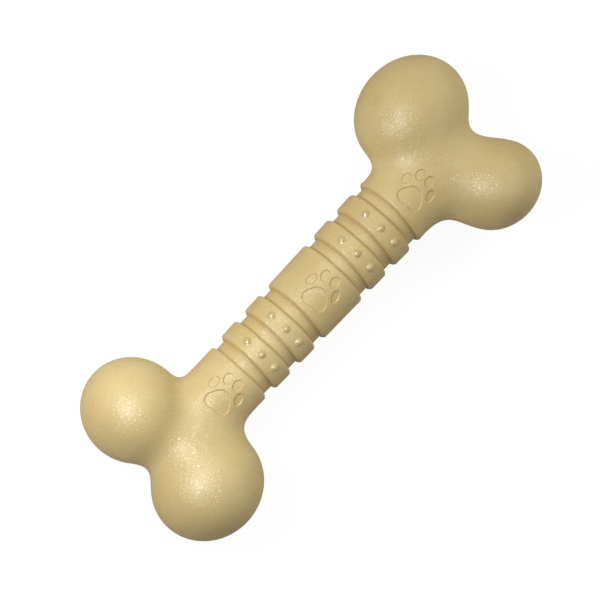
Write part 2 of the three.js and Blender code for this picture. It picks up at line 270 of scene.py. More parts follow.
class NylonFinish(bpy.types.PropertyGroup):
    """Colour and surface of the nylon."""

    ivory: colour("Ivory", "Main colour", (0.67, 0.512, 0.22))
    pale: colour("Pale", "Lighter clouds in the nylon", (0.77, 0.625, 0.31))
    # ochre: the nylon's own blotches and speckle, and also the colour of the painted shade in corners and
    # recesses
    ochre: colour("Ochre", "Corners and recesses", (0.53, 0.325, 0.105))
    roughness: share("Roughness", "Of the satin surface", 0.52)
    grain: length("Grain", "Size of the fine moulded grain", 0.6)
    grain_depth: length("Grain depth", "Height of the fine grain", 0.34)
    speck: length("Speck", "Size of the specks that glint on the grain", 0.55)
    glint: share("Glint", "Share of the light that a speck mirrors", 0.085)
    glint_roughness: share("Glint roughness", "Of the specks", 0.33)
    glint_colour: colour("Glint colour", "Of the light that a speck mirrors", (1.0, 0.97, 0.88))


class StageLight(bpy.types.PropertyGroup):
    """Studio light and floor."""

    main_power: power("Main power", "Of the near lamp that models the forms", 0.67)
    fill_power: power("Fill power", "Of the far soft lamp", 37.5)
    glint_power: power("Glint power", "Of the small lamp that shows in the lobes' gloss", 0.72)
    barrel_power: power("Barrel power", "Of the small lamp that shows in the barrel's gloss", 0.22)
    surround: share("Surround", "Brightness of the light from all round", 0.27)
    floor: colour("Floor", "Colour of the floor in the light that it throws back", (0.41, 0.35, 0.28))


class ChewBone(bpy.types.PropertyGroup):
    """All sizes, finishes and stage values of the chew bone."""

    overall_length: length("Length", "Over the two large lobes", 200)
    overall_width: length("Width", "Over the two large lobes", 80.8)
    lobe_height: length("Lobe height", "Of a lobe without its rest flat", 40.4)
    barrel: PointerProperty(type=BarrelSizes)
    nub: PointerProperty(type=NubSizes)
    paw: PointerProperty(type=PawSizes)
    left: PointerProperty(type=LeftKnuckleSizes)
    right: PointerProperty(type=RightKnuckleSizes)
    nylon: PointerProperty(type=NylonFinish)
    stage: PointerProperty(type=StageLight)


# Barrel measures


def barrel_span(barrel):
    """First and last place of the barrel along X."""
    half = (GROOVES * barrel.groove_width + len(RING_NAMES) * barrel.ring_width + barrel.band_width) / 2
    return barrel.offset - half, barrel.offset + half


def outer_radius(barrel, x):
    """Radius over the rings and the band."""
    start, end = barrel_span(barrel)
    part = (x - start) / (end - start)
    return (barrel.left_diameter + (barrel.right_diameter - barrel.left_diameter) * part) / 2


def floor_radius(barrel, x):
    """Radius of the grooves' floor."""
    return outer_radius(barrel, x) - barrel.groove_depth


def sleeve_spans(barrel):
    """First and last place of each ring and, under the name centre_band, of the band."""
    spans = {}
    cursor = barrel_span(barrel)[0] + barrel.groove_width
    half = len(RING_NAMES) // 2
    for name in (*RING_NAMES[:half], "centre_band", *RING_NAMES[half:]):
        width = barrel.band_width if name == "centre_band" else barrel.ring_width
        spans[name] = (cursor, cursor + width)
        cursor += width + barrel.groove_width
    return spans


def wall_foot_places(barrel):
    """Places along X where a groove's wall meets its floor."""
    feet = list(barrel_span(barrel))
    for span in sleeve_spans(barrel).values():
        feet += span
    return sorted(feet)


def rim_rounding(barrel, height):
    """Radius of the round on top of a wall, and how far it reaches from the wall's corner."""
    radius = min(barrel.rim_round, MOST_ROUND * height)
    return radius, radius * math.tan((math.pi / 2 - barrel.draft) / 2)


def wall_profile(barrel, height):
    """Points (along, up) of a groove wall from its foot to the end of its rounded rim."""
    radius, reach = rim_rounding(barrel, height)
    centre_along = height * math.tan(barrel.draft) + reach
    points = [(0, 0)]
    for step in range(RIM_STEPS + 1):
        lean = barrel.draft + (math.pi / 2 - barrel.draft) * step / RIM_STEPS
        points.append((
            centre_along - radius * math.cos(lean),
            height - radius + radius * math.sin(lean),
        ))
    return points


# Mesh work


def begin():
    """Object mode with nothing selected."""
    if bpy.context.object and bpy.context.object.mode != "OBJECT":
        bpy.ops.object.mode_set(mode="OBJECT")
    bpy.ops.object.select_all(action="DESELECT")


def named(name):
    """The new primitive, named, with its place in its mesh."""
    piece = bpy.context.object
    piece.name = piece.data.name = name + "_looks"
    bpy.ops.object.transform_apply(location=True, rotation=True, scale=True)
    return piece


def points_of(piece):
    """Vertices of a piece in object mode."""
    points = np.empty(len(piece.data.vertices) * 3, np.float32)
    piece.data.vertices.foreach_get("co", points)
    return points.reshape(-1, 3).astype(float)


def put_points(piece, points):
    """Move the vertices of a piece in object mode."""
    piece.data.vertices.foreach_set("co", points.astype(np.float32).ravel())
    piece.data.update()


def edge_ends(piece):
    """The two vertices of each edge of a piece in object mode."""
    ends = np.empty(len(piece.data.edges) * 2, np.int32)
    piece.data.edges.foreach_get("vertices", ends)
    return ends.reshape(-1, 2)


def centres_of(piece):
    """Middles of a piece's faces in object mode."""
    centres = np.empty(len(piece.data.polygons) * 3, np.float32)
    piece.data.polygons.foreach_get("center", centres)
    return centres.reshape(-1, 3).astype(float)


def edit_selected(piece, kind, chosen):
    """Go into edit mode with only the chosen vertices, edges or faces selected."""
    mesh = piece.data
    for items in (mesh.vertices, mesh.edges, mesh.polygons):
        items.foreach_set("select", np.zeros(len(items), bool))
    getattr(mesh, kind).foreach_set("select", np.asarray(chosen, bool))
    order = ("vertices", "edges", "polygons")
    bpy.context.tool_settings.mesh_select_mode = [kind == name for name in order]
    bpy.ops.object.mode_set(mode="EDIT")


def edit_all(piece):
    """Go into edit mode with every face selected."""
    edit_selected(piece, "polygons", np.ones(len(piece.data.polygons), bool))


def object_mode():
    """Go back from edit mode, so that the mesh can be read."""
    bpy.ops.object.mode_set(mode="OBJECT")


def close_up(piece):
    """Merge doubles and turn all faces outwards."""
    edit_all(piece)
    bpy.ops.mesh.remove_doubles(threshold=MERGE)
    bpy.ops.mesh.normals_make_consistent(inside=False)
    object_mode()


def spun(name, profile, axis_height):
    """Draw a profile of (x, radius) points over the bone's axis and spin it once round."""
    begin()
    x, radius = profile[0]
    bpy.ops.mesh.primitive_plane_add(size=MM, location=(x, 0, axis_height + radius))
    piece = named(name)
    edit_selected(piece, "vertices", np.ones(len(piece.data.vertices), bool))
    bpy.ops.mesh.merge(type="CENTER")
    for here, there in zip(profile, profile[1:]):
        move = (there[0] - here[0], 0, there[1] - here[1])
        bpy.ops.mesh.extrude_vertices_move(TRANSFORM_OT_translate={"value": move})
    bpy.ops.mesh.select_all(action="SELECT")
    bpy.ops.mesh.spin(
        steps=SEGMENTS, angle=2 * math.pi, use_auto_merge=True,
        center=(0, 0, axis_height), axis=(1, 0, 0),
    )
    object_mode()
    close_up(piece)
    return piece


def refine(piece, near, cuts):
    """Subdivide the faces whose middle passes a test."""
    edit_selected(piece, "polygons", near(centres_of(piece)))
    bpy.ops.mesh.subdivide(number_cuts=cuts)
    object_mode()


def push(piece, weights, height):
    """Move the weighted vertices along their normals with an applied Displace modifier."""
    group = piece.vertex_groups.new(name="push")
    for index in np.flatnonzero(weights > 0):
        group.add([int(index)], float(weights[index]), "REPLACE")
    displace = piece.modifiers.new("push", "DISPLACE")
    displace.vertex_group = group.name
    displace.direction = "NORMAL"
    displace.mid_level = 0
    displace.strength = height
    bpy.ops.object.modifier_apply(modifier=displace.name)
    piece.vertex_groups.clear()


def mark(piece, name, values):
    """Keep a value from 0 to 1 at each vertex, for the finish."""
    layer = piece.data.attributes.new(name, "FLOAT", "POINT")
    layer.data.foreach_set("value", np.clip(values, 0, 1).astype(np.float32))


def soft_mark(distance, width):
    """1 on a line, fading to 0 away from it."""
    return np.exp(-((distance / width) ** 2))


def rows_between(start, end, width):
    """Even places from start to end, both included."""
    return np.linspace(start, end, max(2, round(abs(end - start) / width) + 1))


def hand_over(piece, node, bone):
    """Shade, dress and seat a finished piece in the frame."""
    bpy.ops.object.shade_smooth_by_angle(angle=SMOOTH_ANGLE)
    piece.data.materials.clear()
    piece.data.materials.append(nylon_material(bone.nylon, bone.barrel.axis_height))
    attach(piece, BODY)
    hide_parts(node)


# Paw prints


def oval_distance(u, v, half_length, half_width):
    """About the distance to an oval, negative inside."""
    far = np.hypot(u / half_length, v / half_width)
    slope = np.hypot(u / half_length**2, v / half_width**2)
    return far * (far - 1) / np.maximum(slope, LEAST_SLOPE)


def pad_distance(paw, u, v):
    """About the distance to a print's pad, whose front and two heels swell, negative inside."""
    turn = np.arctan2(v / paw.pad_width, u / paw.pad_length)
    far = 2 * np.hypot(u / paw.pad_length, v / paw.pad_width)
    local = np.hypot(paw.pad_length * np.cos(turn), paw.pad_width * np.sin(turn)) / 2
    notch = paw.heel_notch * np.clip(-np.cos(turn), 0, None) ** HEEL_NARROWNESS
    swell = 1 + paw.pad_lobing * np.cos(PAD_SWELLS * turn) - notch
    return (far - swell) * local


def paw_distance(paw, axis_height, place, points):
    """About the distance from points to a print's outline, seen from above or below, negative inside."""
    flip = np.where(points[:, 2] >= axis_height, 1.0, -1.0)
    along = points[:, 0] - place
    across = points[:, 1] * flip - paw.aside
    u = along * math.cos(paw.turn) + across * math.sin(paw.turn)
    v = across * math.cos(paw.turn) - along * math.sin(paw.turn)
    nearest = pad_distance(paw, u, v)
    toes = (
        (paw.outer_reach, paw.outer_spread, paw.outer_length, paw.outer_width, paw.outer_lean),
        (paw.inner_reach, paw.inner_spread, paw.inner_length, paw.inner_width, paw.inner_lean),
    )
    for reach, spread, toe_length, toe_width, lean in toes:
        for side in (-1, 1):
            ahead = u - reach
            out = side * v - spread / 2
            p = ahead * math.cos(lean) - out * math.sin(lean)
            q = ahead * math.sin(lean) + out * math.cos(lean)
            nearest = np.minimum(nearest, oval_distance(p, q, toe_length / 2, toe_width / 2))
    return nearest


def crowned(axis_height, points):
    """Which points lie well over or under the bone's axis."""
    return np.abs(points[:, 2] - axis_height) > PAW_RISE


def refine_paw(piece, paw, axis_height, place):
    """Give the surface finer faces along a print's outline."""

    def near(points):
        edge = paw_distance(paw, axis_height, place, points)
        return crowned(axis_height, points) & (np.abs(edge) < PAW_NEAR * paw.wall)

    refine(piece, near, PAW_CUTS)


def press_paw(piece, paw, axis_height, place):
    """Press a paw print into the upper and the lower side."""
    points = points_of(piece)
    ramp = np.clip(0.5 - paw_distance(paw, axis_height, place, points) / paw.wall, 0, 1)
    weights = np.where(crowned(axis_height, points), ramp * ramp * (3 - 2 * ramp), 0)
    push(piece, weights, -paw.depth)


def paw_wall_shade(piece, paw, axis_height, place):
    """Painted shade along the walls of a print."""
    points = points_of(piece)
    inside = paw_distance(paw, axis_height, place, points) + PAW_SHADE_INSET * paw.wall
    return np.where(crowned(axis_height, points), PAW_SHADE_STRENGTH * soft_mark(inside, paw.wall), 0)


# Spine, rings and band


def spine_profile(barrel):
    """Profile of the spine from tip to tip: two chamfered spigots and the floors of the grooves."""
    start, end = barrel_span(barrel)
    feet = wall_foot_places(barrel)
    places = []
    for first, last in zip(feet[::2], feet[1::2]):
        places += list(rows_between(first, last, FLOOR_ROW))
    nose = SPIGOT_RADIUS - SPIGOT_CHAMFER
    return [
        (start - SPIGOT_LENGTH, 0), (start - SPIGOT_LENGTH, nose),
        (start - SPIGOT_LENGTH + SPIGOT_CHAMFER, SPIGOT_RADIUS), (start, SPIGOT_RADIUS),
        *[(x, floor_radius(barrel, x)) for x in places],
        (end, SPIGOT_RADIUS), (end + SPIGOT_LENGTH - SPIGOT_CHAMFER, SPIGOT_RADIUS),
        (end + SPIGOT_LENGTH, nose), (end + SPIGOT_LENGTH, 0),
    ]


def sleeve_profile(barrel, span):
    """Closed profile of a ring or band: wall, rim, top, rim, wall and bore."""
    start, end = span
    wall = wall_profile(barrel, barrel.groove_depth)
    left = [(start + along, floor_radius(barrel, start + along) + up) for along, up in wall]
    right = [(end - along, floor_radius(barrel, end - along) + up) for along, up in reversed(wall)]
    top = [(x, outer_radius(barrel, x)) for x in rows_between(left[-1][0], right[0][0], ROW_WIDTH)]
    bore = [(end, right[-1][1] - SEAT_SINK), (start, left[0][1] - SEAT_SINK)]
    return [*left, *top[1:-1], *right, *bore, left[0]]


def foot_wall_shade(barrel, span, points):
    """Painted shade along the feet of a ring's two walls."""
    radial = np.hypot(points[:, 1], points[:, 2] - barrel.axis_height)
    shade_marks = np.zeros(len(points))
    for x in span:
        shade_marks += soft_mark(np.hypot(points[:, 0] - x, radial - floor_radius(barrel, x)), FOOT_SHADE_REACH)
    return shade_marks


def nub_axes(nub):
    """Directions of the nubs across the bone's axis."""
    for side in (0, math.pi):
        for place in range(nub.per_side):
            turn = side + nub.pitch * (place - (nub.per_side - 1) / 2)
            yield np.array((0, -math.sin(turn), math.cos(turn)))


def nub_distance(points, centre, nub):
    """Distance from points to the axis of the nearest nub."""
    offset = points - centre
    nearest = np.full(len(points), FAR_AWAY)
    for axis in nub_axes(nub):
        up = offset @ axis
        away = np.linalg.norm(offset - np.outer(up, axis), axis=1)
        nearest = np.minimum(nearest, np.where(up > 0, away, FAR_AWAY))
    return nearest


def nub_bell(away, nub):
    """Share of a nub's height at a distance from its axis: a round top on a soft foot."""
    return np.clip(1 - (2 * away / nub.diameter) ** 2, 0, None) ** NUB_SOFTNESS


def build_nub_ring(bone, name):
    """Turn a ring and raise its two rows of nubs."""
    barrel, nub = bone.barrel, bone.nub
    span = sleeve_spans(barrel)[name]
    piece = spun(name, sleeve_profile(barrel, span), barrel.axis_height)
    centre = np.array((sum(span) / 2, 0, barrel.axis_height))
    inner = floor_radius(barrel, centre[0]) + barrel.groove_depth / 2

    def on_top(points):
        return np.linalg.norm(points[:, 1:] - centre[1:], axis=1) > inner

    def near(points):
        return on_top(points) & (nub_distance(points, centre, nub) < NUB_NEAR * nub.diameter)

    refine(piece, near, NUB_CUTS)
    points = points_of(piece)
    away = nub_distance(points, centre, nub)
    bell = np.where(on_top(points), nub_bell(away, nub), 0)
    # painted shade in a ring round each nub's foot, added to that at the feet of the ring's walls
    nub_shade = np.where(on_top(points), soft_mark(away - NUB_SHADE_PLACE * nub.diameter, NUB_SHADE_REACH), 0)
    push(piece, bell, nub.height)
    mark(piece, PAINTED_SHADE_MARK, NUB_SHADE_STRENGTH * nub_shade + foot_wall_shade(barrel, span, points))
    mark(piece, POLISH, POLISH_GAIN * bell)
    return piece


# Knuckles


def lobe_distance(points, centre, reach):
    """About the distance to an egg-shaped lobe, negative inside."""
    scaled = (points - centre) / reach
    far = np.linalg.norm(scaled, axis=1)
    slope = np.linalg.norm(scaled / reach, axis=1)
    return far * (far - 1) / np.maximum(slope, LEAST_SLOPE)


def soft_union(a, b, reach):
    """The lower of two distances, rounded over where they come within a reach of each other."""
    overlap = np.clip(reach - np.abs(a - b), 0, None) / reach
    return np.minimum(a, b) - overlap**2 * reach / 4


class KnuckleForm:
    """Form of a knuckle in a frame of its own, on the bone's axis: tip to +X, large lobe to +Y.

    On the bone it points to +X (towards 1) or, turned half round, to -X (towards -1).
    """

    def __init__(self, bone, sizes, towards):
        barrel = bone.barrel
        tip = bone.overall_length / 2
        side = bone.overall_width / 2
        high = bone.lobe_height / 2
        self.sizes = sizes
        self.towards = towards
        self.axis = barrel.axis_height

        # The reach and the centre of each lobe
        self.large_reach = np.array((sizes.large_length / 2, sizes.large_width / 2, high))
        self.small_reach = np.array((sizes.small_length / 2, sizes.small_width / 2, high))
        self.large = np.array((tip, side, 0)) - self.large_reach * (1, 1, 0)
        self.small = np.array((tip - sizes.setback, sizes.inset - side, 0)) + self.small_reach * (-1, 1, 0)

        # The collar, from its round end at the heart to its rim and the foot of the groove wall
        self.heart = self.large[0] - sizes.collar_setback
        self.rim = abs(barrel_span(barrel)[0 if towards < 0 else 1])
        self.foot_radius = floor_radius(barrel, towards * self.rim)
        self.collar_radius = sizes.collar / 2
        self.wall_height = self.collar_radius - self.foot_radius
        self.corner = self.rim + self.wall_height * math.tan(barrel.draft)
        self.rim_reach = rim_rounding(barrel, self.wall_height)[1]

        # Where the mesh of the lobes ends and that of the collar starts
        self.opening = self.corner + SPHERE_OPENING * (self.heart - self.corner)
        self.opening_angle = math.atan2(self.collar_radius, self.heart - self.opening)

    def local(self, points):
        """Points on the bone, seen in the knuckle's own frame."""
        return (points - (0, 0, self.axis)) * (self.towards, self.towards, 1)

    def world(self, points):
        """Points of the knuckle's own frame, put on the bone."""
        return points * (self.towards, self.towards, 1) + (0, 0, self.axis)

    def distance(self, points):
        """About the distance to the skin, negative inside."""
        past = np.clip(points[:, 0] - self.heart, 0, None)
        collar = np.sqrt(past**2 + points[:, 1] ** 2 + points[:, 2] ** 2) - self.collar_radius
        large = lobe_distance(points, self.large, self.large_reach)
        small = lobe_distance(points, self.small, self.small_reach)
        return soft_union(soft_union(collar, large, self.sizes.large_blend), small, self.sizes.small_blend)

    def skin(self, origins, directions):
        """First points where rays from inside leave the form."""
        outer = np.full(len(directions), SEARCH_STEP)
        inside = np.ones(len(directions), bool)
        while inside.any():
            inside[inside] = self.distance(origins[inside] + directions[inside] * outer[inside, None]) < 0
            outer[inside] += SEARCH_STEP
        inner = outer - SEARCH_STEP
        for _ in range(SEARCH_HALVINGS):
            middle = (inner + outer) / 2
            within = self.distance(origins + directions * middle[:, None]) < 0
            inner = np.where(within, middle, inner)
            outer = np.where(within, outer, middle)
        return origins + directions * outer[:, None]


def radius_of(points):
    """Distance of points from the X axis."""
    return np.hypot(points[:, 1], points[:, 2])


def heart_rays(form, piece):
    """Rays from a knuckle's heart to the piece's vertices, and their angles to the barrel's side."""
    rays = form.local(points_of(piece)) - (form.heart, 0, 0)
    return rays, np.arctan2(radius_of(rays), -rays[:, 0])


def settle_lobes(form, node):
    """Settle a sphere, open to the barrel, on the lobes; gives the piece and the vertices of its edge."""
    begin()
    bpy.ops.mesh.primitive_uv_sphere_add(
        segments=SEGMENTS, ring_count=KNUCKLE_RINGS, radius=form.collar_radius,
        location=(form.towards * form.heart, 0, form.axis), rotation=(0, form.towards * math.pi / 2, 0),
    )
    piece = named(node)
    polar = heart_rays(form, piece)[1]
    edit_selected(piece, "vertices", polar < form.opening_angle)
    bpy.ops.mesh.delete(type="VERT")
    object_mode()
    rays, polar = heart_rays(form, piece)
    polar = np.pi - (np.pi - polar) * (np.pi - form.opening_angle) / (np.pi - polar.min())
    around = np.arctan2(rays[:, 2], rays[:, 1])
    out = np.sin(polar)
    rays = np.column_stack((-np.cos(polar), out * np.cos(around), out * np.sin(around)))
    heart = np.tile((form.heart, 0.0, 0.0), (len(rays), 1))
    put_points(piece, form.world(form.skin(heart, rays)))
    return piece, polar < form.opening_angle + SAME_ANGLE


def draw_collar(form, piece, edge):
    """Draw the open edge out to the collar's rim, down the groove wall and into the socket."""
    edit_selected(piece, "vertices", edge)

    def draw_out(x_from, x_to, scale):
        move = (form.towards * (x_to - x_from), 0, 0)
        bpy.ops.mesh.extrude_region_move(TRANSFORM_OT_translate={"value": move})
        bpy.ops.transform.resize(value=(1, scale, scale), center_override=(0, 0, form.axis))

    draw_out(form.opening, form.corner, 1)
    bpy.ops.transform.resize(value=(0, 1, 1), center_override=(form.towards * form.corner, 0, form.axis))
    draw_out(form.corner, form.rim, form.foot_radius / form.collar_radius)
    draw_out(form.rim, form.rim, SPIGOT_RADIUS / form.foot_radius)
    draw_out(form.rim, form.rim + SPIGOT_LENGTH, 1)
    bpy.ops.mesh.edge_face_add()
    object_mode()


def round_rim(form, piece):
    """Round the collar's rim over."""
    place = form.local(points_of(piece))
    on_rim = np.abs(place[:, 0] - form.corner) < SAME_PLACE
    on_rim &= radius_of(place) > form.foot_radius + form.wall_height / 2
    edit_selected(piece, "edges", on_rim[edge_ends(piece)].all(axis=1))
    bpy.ops.mesh.bevel(
        offset=form.rim_reach, offset_type="OFFSET", segments=RIM_STEPS, profile=0.5, affect="EDGES",
    )
    object_mode()


def row_collar(form, piece):
    """Cut the long edges that cross the middle of the collar into rows, and leave the socket as it is."""
    place = form.local(points_of(piece))
    ends = edge_ends(piece)
    past_middle = place[:, 0] > (form.corner + form.opening) / 2
    on_collar = radius_of(place) > (SPIGOT_RADIUS + form.foot_radius) / 2
    crosses = past_middle[ends].any(axis=1) & ~past_middle[ends].all(axis=1)
    edit_selected(piece, "edges", crosses & on_collar[ends].all(axis=1))
    bpy.ops.mesh.subdivide(number_cuts=round((form.opening - form.corner) / ROW_WIDTH))
    object_mode()


def settle_collar(form, piece):
    """Move the collar's vertices straight out onto the knuckle's form."""
    place = form.local(points_of(piece))
    collar = (place[:, 0] > form.corner + form.rim_reach + SAME_PLACE) & (place[:, 0] < form.opening)
    collar &= radius_of(place) > form.foot_radius
    axis_points = place[collar] * (1, 0, 0)
    outwards = place[collar] * (0, 1, 1)
    outwards /= np.linalg.norm(outwards, axis=1)[:, None]
    place[collar] = form.skin(axis_points, outwards)
    put_points(piece, form.world(place))


def cut_rest_flats(piece):
    """Cut the lobes flat where the bone rests."""
    edit_all(piece)
    bpy.ops.mesh.bisect(
        plane_co=(0, 0, 0), plane_no=(0, 0, 1), use_fill=True, clear_inner=True, threshold=MERGE,
    )
    object_mode()
    close_up(piece)


def build_knuckle(bone, node, sizes, towards, paw_place):
    """Model a knuckle: lobes, collar, groove wall, socket, paw prints and rest flats."""
    form = KnuckleForm(bone, sizes, towards)
    piece, edge = settle_lobes(form, node)
    draw_collar(form, piece, edge)
    round_rim(form, piece)
    row_collar(form, piece)
    refine_paw(piece, bone.paw, form.axis, paw_place)
    settle_collar(form, piece)
    press_paw(piece, bone.paw, form.axis, paw_place)
    cut_rest_flats(piece)
    place = form.local(points_of(piece))
    # painted shade at the foot of the collar's groove wall and along the print's walls
    foot = np.hypot(place[:, 0] - form.rim, radius_of(place) - form.foot_radius)
    mark(piece, PAINTED_SHADE_MARK, soft_mark(foot, FOOT_SHADE_REACH) + paw_wall_shade(piece, bone.paw, form.axis, paw_place))
    return piece


# Shading


class Wire:
    """A value in a shader tree; arithmetic on it adds Math nodes."""

    def __init__(self, tree, socket=None):
        self.tree = tree
        self.socket = socket

    def node(self, kind, settings=None, inputs=None, output=0):
        """Add a node: its settings first, then the values or wires of its sockets."""
        made = self.tree.nodes.new(kind)
        for name, value in (settings or {}).items():
            setattr(made, name, value)
        for name, value in (inputs or {}).items():
            if isinstance(value, Wire):
                self.tree.links.new(value.socket, made.inputs[name])
            else:
                made.inputs[name].default_value = value
        return Wire(self.tree, made.outputs[output] if made.outputs else None)

    def math(self, operation, *values):
        """Add a Math node on numbers or wires."""
        return self.node("ShaderNodeMath", {"operation": operation}, dict(enumerate(values)))

    def __add__(self, other):
        return self.math("ADD", self, other)

    def __mul__(self, other):
        return self.math("MULTIPLY", self, other)

    def __sub__(self, other):
        return self.math("SUBTRACT", self, other)

    def __rsub__(self, other):
        return self.math("SUBTRACT", other, self)

    def __abs__(self):
        return self.math("ABSOLUTE", self)

    __radd__ = __add__
    __rmul__ = __mul__

    def ramp(self, low, high):
        """0 up to low, 1 from high, smooth in between."""
        return self.node(
            "ShaderNodeMapRange", {"interpolation_type": "SMOOTHSTEP"},
            {"Value": self, "From Min": low, "From Max": high},
        )

    def mix(self, a, b):
        """Colour from a to b as this value goes from 0 to 1, on the Mix node's sockets for colours."""
        return self.node("ShaderNodeMix", {"data_type": "RGBA"}, {0: self, 6: a, 7: b}, output=2)

    def mix_shaders(self, a, b):
        """Shader from a to b as this value goes from 0 to 1."""
        return self.node("ShaderNodeMixShader", None, {0: self, 1: a, 2: b})


def empty_tree(owner):
    """Start of an empty node tree on a material or a world."""
    owner.use_nodes = True
    owner.node_tree.nodes.clear()
    return Wire(owner.node_tree)


def opaque(rgb):
    """A colour with full alpha."""
    return (*rgb, 1)


def nylon_material(finish, axis_height):
    """Satin moulded nylon: cloudy ivory, ochre blotches and speckle, painted ochre shade in the corners,
    glinting grain and a faint parting line.
    """
    name = "moulded nylon"
    if name in bpy.data.materials:
        return bpy.data.materials[name]
    material = bpy.data.materials.new(name)
    start = empty_tree(material)
    place = start.node("ShaderNodeTexCoord", output="Object")

    def noise(size, detail, roughness):
        return start.node("ShaderNodeTexNoise", None, {
            "Vector": place, "Scale": 1 / size, "Detail": detail, "Roughness": roughness,
        })

    def marked(attribute):
        return start.node("ShaderNodeAttribute", {"attribute_name": attribute}, output="Fac")

    def skin(relief, inputs):
        bump = start.node("ShaderNodeBump", None, {"Height": relief, "Strength": 1.0, "Distance": 1.0})
        return start.node("ShaderNodeBsdfPrincipled", None, {"Normal": bump, **inputs})

    clouds = noise(CLOUD_SIZE, detail=2, roughness=0.5).ramp(low=0.35, high=0.68)
    blotches = noise(BLOTCH_SIZE, detail=3, roughness=0.6).ramp(low=0.42, high=0.8)
    speckle = noise(SPECKLE_SIZE, detail=2, roughness=0.6).ramp(low=0.4, high=0.75)
    specks = noise(finish.speck, detail=0, roughness=0.5).ramp(low=0.5, high=0.64)
    grain = noise(finish.grain, detail=1, roughness=0.5)
    waves = noise(WAVE_SIZE, detail=2, roughness=0.5)
    # recess: the marked corners, darkened towards ochre as painted shade
    recess = marked(PAINTED_SHADE_MARK)
    polish = marked(POLISH)

    pale = CLOUD_TINT * clouds + SPECK_TINT * specks
    body = pale.mix(opaque(finish.ivory), opaque(finish.pale))
    # blotches and speckle are the nylon's own tone; the recess share is painted shade
    ochre = blotches * BLOTCH_TINT + speckle * SPECKLE_TINT + recess * SHADE_TINT
    warm = ochre.mix(body, opaque(finish.ochre))
    rough = finish.roughness + BLOTCH_SWAY * (blotches - 0.5) - POLISH_EASE * polish

    height = start.node("ShaderNodeSeparateXYZ", None, {0: place}, output="Z") - axis_height
    seam = 1 - abs(height).ramp(SEAM_CREST, SEAM_FOOT)
    calm = waves * WAVE_HEIGHT + seam * SEAM_HEIGHT + grain * (GRAIN_UNDER * finish.grain_depth)
    grained = calm + (1 - polish) * grain * finish.grain_depth

    nylon = skin(calm, {"Base Color": warm, "Roughness": rough, "IOR": NYLON_IOR})
    glint = skin(grained, {
        "Base Color": opaque(finish.glint_colour),
        "Roughness": finish.glint_roughness - GLINT_EASE * polish,
        "Metallic": 1.0,
    })
    glinting = finish.glint * ((1 - polish) * specks + POLISH_GLINT * polish)
    start.node("ShaderNodeOutputMaterial", None, {"Surface": glinting.mix_shaders(nylon, glint)})
    return material


def floor_material(stage):
    """White paper with the bone's shadow to the camera, and the floor's own colour to the light."""
    material = bpy.data.materials.new("white paper")
    start = empty_tree(material)
    seen = start.node("ShaderNodeLightPath", output="Is Camera Ray")
    mirrored = start.node("ShaderNodeLightPath", output="Is Glossy Ray")
    paper = start.node("ShaderNodeBsdfDiffuse", None, {"Color": opaque(stage.floor)})
    shadowed = start.node("ShaderNodeBsdfDiffuse", None, {"Color": opaque([SHADOW_GREY] * 3)})
    glow = start.node("ShaderNodeEmission", None, {"Strength": FLOOR_GLOW})
    white = start.node("ShaderNodeAddShader", None, {0: shadowed, 1: glow})
    shown = (seen + FLOOR_IN_GLOSS * mirrored).mix_shaders(paper, white)
    start.node("ShaderNodeOutputMaterial", None, {"Surface": shown})
    material.cycles.emission_sampling = "NONE"  # the glow is looked at, and lights nothing
    return material


# Stage


def lay_floor(context, stage):
    """Lay the paper that the bone lies on."""
    begin()
    bpy.ops.mesh.primitive_plane_add(size=FLOOR_SIZE, location=(0, 0, 0))
    floor = context.object
    floor.name = "floor"
    floor.data.materials.append(floor_material(stage))


def hang_lamps(context, stage, middle):
    """Hang two lamps that model the forms and two small ones that show only in the gloss."""
    lamps = (
        ("main lamp", MAIN_PLACE, MAIN_SIZE, stage.main_power, False),
        ("fill lamp", FILL_PLACE, FILL_SIZE, stage.fill_power, False),
        ("glint lamp", GLINT_PLACE, GLINT_SIZE, stage.glint_power, True),
        ("barrel lamp", BARREL_LAMP_PLACE, GLINT_SIZE, stage.barrel_power, True),
    )
    for name, place, size, watts, glints in lamps:
        facing = (-place).to_track_quat("-Z", "Y").to_euler()
        bpy.ops.object.light_add(type="AREA", location=middle + place, rotation=facing)
        lamp = context.object
        lamp.name = name
        lamp.data.shape = "DISK"
        lamp.data.size = size
        lamp.data.energy = watts
        lamp.visible_glossy = glints
        lamp.visible_diffuse = not glints


def light_surround(context, stage):
    """Light the bone dimly from all round, with white behind it."""
    world = bpy.data.worlds.new("studio")
    context.scene.world = world
    start = empty_tree(world)
    seen = start.node("ShaderNodeLightPath", output="Is Camera Ray")
    strength = seen * (1 - stage.surround) + stage.surround
    light = start.node("ShaderNodeBackground", None, {"Color": (1, 1, 1, 1), "Strength": strength})
    start.node("ShaderNodeOutputWorld", None, {"Surface": light})


def set_camera(context, middle):
    """Set the camera over the bone, which lies across the picture from corner to corner."""
    along = (Vector((1, 0, 0)) - VIEW_FROM * VIEW_FROM.x).normalized()
    across = VIEW_FROM.cross(along)
    right = along * math.cos(VIEW_ROLL) - across * math.sin(VIEW_ROLL)
    above = along * math.sin(VIEW_ROLL) + across * math.cos(VIEW_ROLL)
    aim = middle - right * AIM_RIGHT - above * AIM_UP
    turn = Matrix((right, above, VIEW_FROM)).transposed().to_euler()
    bpy.ops.object.camera_add(location=aim + VIEW_FROM * VIEW_DISTANCE, rotation=turn)
    camera = context.object
    camera.name = "camera"
    camera.data.sensor_width = SENSOR
    camera.data.lens = SENSOR * VIEW_DISTANCE / VIEW_WIDTH
    context.scene.camera = camera


# Operators and panel


